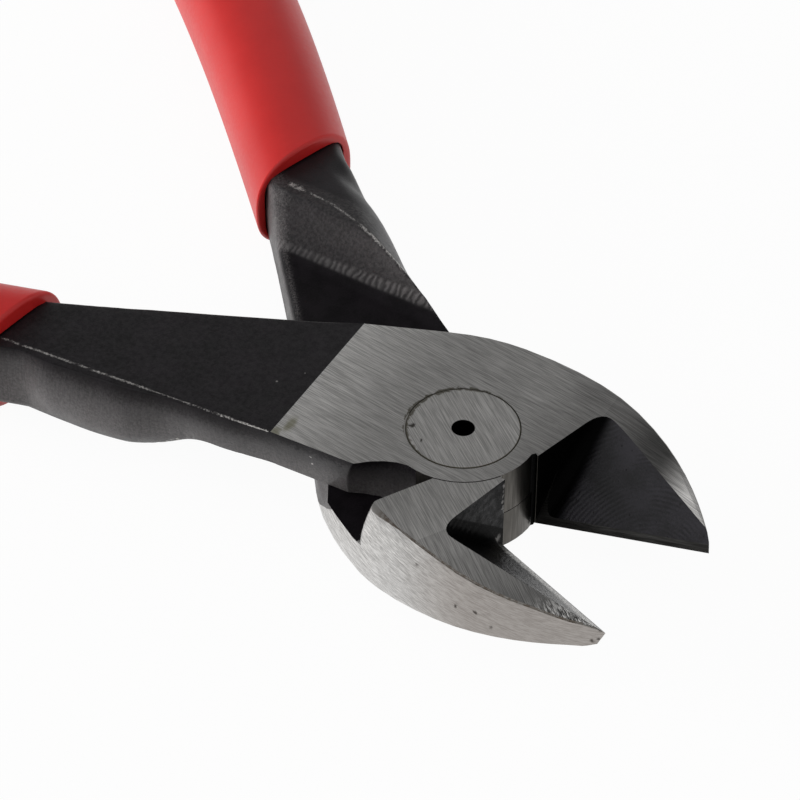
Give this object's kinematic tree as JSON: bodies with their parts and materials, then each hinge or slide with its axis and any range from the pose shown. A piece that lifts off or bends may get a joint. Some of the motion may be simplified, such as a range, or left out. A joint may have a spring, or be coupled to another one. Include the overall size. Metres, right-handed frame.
{
  "type": "side cutters",
  "caption": "Open lap-jointed side cutters: broad ground steel jaws with bevelled cutting edges on a flush pivot pin, blackened handles, red plastic grips; cuts wire.",
  "frame": {"origin": "on the pivot axis, at the ground underside of the head", "axes": "+X from the pivot to the jaw tips along the line that halves the mouth, +Z along the pivot axis towards the pin's eye"},
  "size_m": [0.1672, 0.1338, 0.0132],
  "materials": {
    "lever_steel": "forged and blackened, with the head ground bare",
    "pin_steel": "ground flush with the head, bare",
    "grip_plastic": "smooth satin soft plastic"
  },
  "bodies": {
    "lower_half": {"lower_lever": "lever_steel", "pivot_pin": "pin_steel", "lower_grip": "grip_plastic"},
    "upper_half": {"upper_lever": "lever_steel", "upper_grip": "grip_plastic"}
  },
  "joints": [
    {"name": "jaw_pivot", "type": "hinge", "parent": "lower_half", "child": "upper_half", "pos_m": [0, 0, 0.0055], "axis": [0, 0, 1], "range_deg": [-31.5, 16]}
  ]
}
